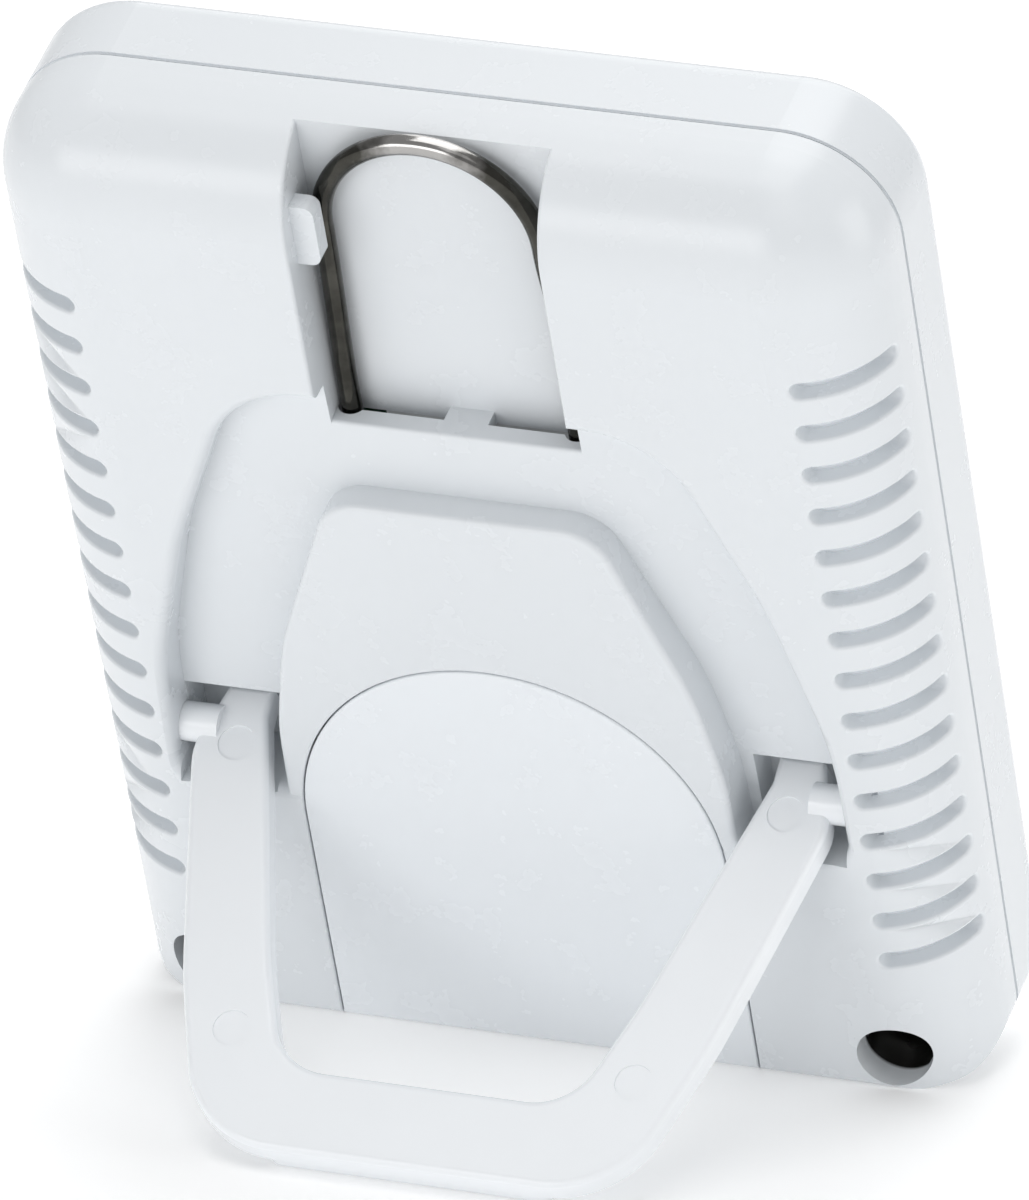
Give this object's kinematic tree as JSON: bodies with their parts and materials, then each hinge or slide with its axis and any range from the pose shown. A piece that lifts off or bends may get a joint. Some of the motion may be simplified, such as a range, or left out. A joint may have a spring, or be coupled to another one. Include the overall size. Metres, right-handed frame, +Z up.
{
  "type": "weather station",
  "caption": "Flat white indoor weather station with a display in front, side vents, a fold-out stand, a slide-up wire hook and a battery door at the back.",
  "frame": {"origin": "centre of the object's footprint on the table, at table height", "axes": "+Z up; the back with its stand faces +Y and the display faces -Y, leaned back by about 21 degrees; +X is the right-hand side seen from the front"},
  "size_m": [0.09, 0.0616, 0.111],
  "materials": {
    "case_white": "smooth moulded ABS with a fine satin finish",
    "door_white": "smooth moulded ABS with a fine satin finish",
    "stand_white": "smooth, slightly glossy and slightly translucent moulded plastic",
    "hook_wire": "dark nickel-plated drawn wire",
    "liner_white": "thin satin moulded plastic",
    "cell_jacket": "printed film over steel, plain bands",
    "spring_steel": "nickel-plated spring wire",
    "contact_metal": "nickel-plated sheet",
    "wire_red": "PVC insulation",
    "wire_black": "PVC insulation",
    "button_grey": "moulded plastic with a satin finish",
    "screw_steel": "zinc-plated steel, cross recess",
    "lens": "clear acrylic with a white printed border",
    "lcd": "liquid crystal display glass",
    "reflector": "grey reflective film",
    "frame_black": "moulded plastic",
    "zebra_rubber": "conductive elastomer strip",
    "board": "glass-fibre laminate with solder mask",
    "chip_epoxy": "black epoxy blob",
    "crystal_can": "tinned can",
    "sensor_body": "moulded sensor housing",
    "bead_epoxy": "epoxy bead",
    "component_body": "ceramic and epoxy component bodies",
    "key_body": "moulded key switch"
  },
  "bodies": {
    "housing": {"rear_housing": "case_white", "front_housing": "case_white", "vent_liner_left": "liner_white", "vent_liner_right": "liner_white", "left_cell": "cell_jacket", "right_cell": "cell_jacket", "battery_springs": "spring_steel", "battery_contacts": "contact_metal", "red_lead": "wire_red", "black_lead": "wire_black", "case_screws": "screw_steel", "board_screws": "screw_steel", "display_window": "lens", "lcd_glass": "lcd", "lcd_reflector": "reflector", "lcd_frame": "frame_black", "contact_strips": "zebra_rubber", "main_board": "board", "controller_chip": "chip_epoxy", "crystal": "crystal_can", "humidity_sensor": "sensor_body", "temperature_sensor": "bead_epoxy", "board_components": "component_body", "key_switches": "key_body"},
    "stand": {"stand": "stand_white"},
    "hook": {"hanging_hook": "hook_wire"},
    "door": {"battery_door": "door_white"},
    "minus_key": {"minus_button": "button_grey"},
    "mode_key": {"mode_button": "button_grey"},
    "plus_key": {"plus_button": "button_grey"}
  },
  "joints": [
    {"name": "stand_hinge", "type": "hinge", "parent": "housing", "child": "stand", "pos_m": [0, -0.00153, 0.0328], "axis": [1, 0, 0], "range_deg": [0, 108.5]},
    {"name": "hook_slide", "type": "slide", "parent": "housing", "child": "hook", "axis": [0, 0.365, 0.931], "range_m": [0, 0.016]},
    {"name": "door_hinge", "type": "hinge", "parent": "housing", "child": "door", "pos_m": [0, 0.00716, 0.04512], "axis": [1, 0, 0], "range_deg": [0, 20]},
    {"name": "minus_key_press", "type": "slide", "parent": "housing", "child": "minus_key", "axis": [0, 0.931, -0.365], "range_m": [0, 0.0005], "stiffness_N_per_m": 300},
    {"name": "mode_key_press", "type": "slide", "parent": "housing", "child": "mode_key", "axis": [0, 0.931, -0.365], "range_m": [0, 0.0005], "stiffness_N_per_m": 300},
    {"name": "plus_key_press", "type": "slide", "parent": "housing", "child": "plus_key", "axis": [0, 0.931, -0.365], "range_m": [0, 0.0005], "stiffness_N_per_m": 300}
  ]
}
